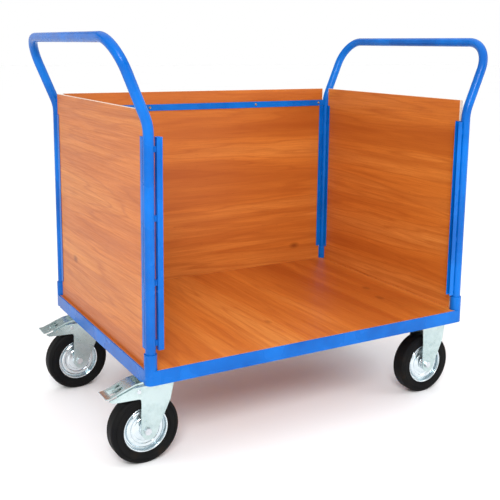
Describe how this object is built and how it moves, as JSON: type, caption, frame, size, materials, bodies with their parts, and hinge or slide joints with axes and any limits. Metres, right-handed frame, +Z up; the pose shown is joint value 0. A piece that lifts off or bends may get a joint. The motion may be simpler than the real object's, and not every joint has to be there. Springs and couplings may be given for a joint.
{
  "type": "platform trolley",
  "caption": "Blue steel platform trolley with a wooden deck, wooden walls at its back and ends, tubular push hoops, braked swivel castors and fixed castors.",
  "frame": {"origin": "on the floor, under the middle of the platform", "axes": "+X along the platform towards the fixed castors, +Y towards the back wall, +Z up; the open side faces -Y"},
  "size_m": [1.2834, 0.795, 1.1741],
  "materials": {
    "blue_paint": "gloss",
    "wall_board": "satin",
    "deck_board": "satin",
    "castor_zinc": "satin",
    "wheel_zinc": "satin",
    "fastener_zinc": "satin",
    "tyre_rubber": "matte",
    "brass": "satin"
  },
  "bodies": {
    "trolley": {"front_rail": "blue_paint", "back_rail": "blue_paint", "left_rail": "blue_paint", "right_rail": "blue_paint", "corner_sockets": "blue_paint", "cross_bearers": "blue_paint", "deck_cleats": "blue_paint", "deck_board": "deck_board", "deck_screws": "fastener_zinc", "left_push_hoop": "blue_paint", "right_push_hoop": "blue_paint", "left_wall": "wall_board", "right_wall": "wall_board", "back_wall": "wall_board", "left_wall_channels": "blue_paint", "right_wall_channels": "blue_paint", "back_wall_channels": "blue_paint", "front_left_open_channel": "blue_paint", "front_right_open_channel": "blue_paint", "left_hoop_lugs": "blue_paint", "right_hoop_lugs": "blue_paint", "back_wall_brace": "blue_paint", "brace_screws": "brass", "brace_nuts": "fastener_zinc", "castor_bolts": "fastener_zinc", "castor_nuts": "fastener_zinc", "front_left_castor_plate": "castor_zinc", "front_left_kingpin": "fastener_zinc", "back_left_castor_plate": "castor_zinc", "back_left_kingpin": "fastener_zinc", "front_right_fixed_fork": "castor_zinc", "front_right_axle_bolt": "fastener_zinc", "front_right_axle_sleeve": "fastener_zinc", "back_right_fixed_fork": "castor_zinc", "back_right_axle_bolt": "fastener_zinc", "back_right_axle_sleeve": "fastener_zinc"},
    "front_left_swivel": {"front_left_fork": "castor_zinc", "front_left_swivel_race": "castor_zinc", "front_left_axle_bolt": "fastener_zinc", "front_left_axle_sleeve": "fastener_zinc", "front_left_brake_pin": "fastener_zinc"},
    "front_left_wheel": {"front_left_rim": "wheel_zinc", "front_left_tyre": "tyre_rubber"},
    "front_left_brake": {"front_left_brake_pedal": "castor_zinc", "front_left_brake_shoe": "castor_zinc"},
    "back_left_swivel": {"back_left_fork": "castor_zinc", "back_left_swivel_race": "castor_zinc", "back_left_axle_bolt": "fastener_zinc", "back_left_axle_sleeve": "fastener_zinc", "back_left_brake_pin": "fastener_zinc"},
    "back_left_wheel": {"back_left_rim": "wheel_zinc", "back_left_tyre": "tyre_rubber"},
    "back_left_brake": {"back_left_brake_pedal": "castor_zinc", "back_left_brake_shoe": "castor_zinc"},
    "front_right_wheel": {"front_right_rim": "wheel_zinc", "front_right_tyre": "tyre_rubber"},
    "back_right_wheel": {"back_right_rim": "wheel_zinc", "back_right_tyre": "tyre_rubber"}
  },
  "joints": [
    {"name": "front_left_swivel_turn", "type": "hinge", "parent": "trolley", "child": "front_left_swivel", "pos_m": [-0.48, -0.29, 0.245], "axis": [0, 0, 1], "continuous": true},
    {"name": "front_left_wheel_roll", "type": "hinge", "parent": "front_left_swivel", "child": "front_left_wheel", "pos_m": [-0.525, -0.29, 0.1], "axis": [0, 1, 0], "continuous": true},
    {"name": "front_left_brake_press", "type": "hinge", "parent": "front_left_swivel", "child": "front_left_brake", "pos_m": [-0.548, -0.29, 0.218], "axis": [0, -1, 0], "range_deg": [0, 9]},
    {"name": "back_left_swivel_turn", "type": "hinge", "parent": "trolley", "child": "back_left_swivel", "pos_m": [-0.48, 0.29, 0.245], "axis": [0, 0, 1], "continuous": true},
    {"name": "back_left_wheel_roll", "type": "hinge", "parent": "back_left_swivel", "child": "back_left_wheel", "pos_m": [-0.525, 0.29, 0.1], "axis": [0, 1, 0], "continuous": true},
    {"name": "back_left_brake_press", "type": "hinge", "parent": "back_left_swivel", "child": "back_left_brake", "pos_m": [-0.548, 0.29, 0.218], "axis": [0, -1, 0], "range_deg": [0, 9]},
    {"name": "front_right_wheel_roll", "type": "hinge", "parent": "trolley", "child": "front_right_wheel", "pos_m": [0.48, -0.29, 0.1], "axis": [0, 1, 0], "continuous": true},
    {"name": "back_right_wheel_roll", "type": "hinge", "parent": "trolley", "child": "back_right_wheel", "pos_m": [0.48, 0.29, 0.1], "axis": [0, 1, 0], "continuous": true}
  ]
}
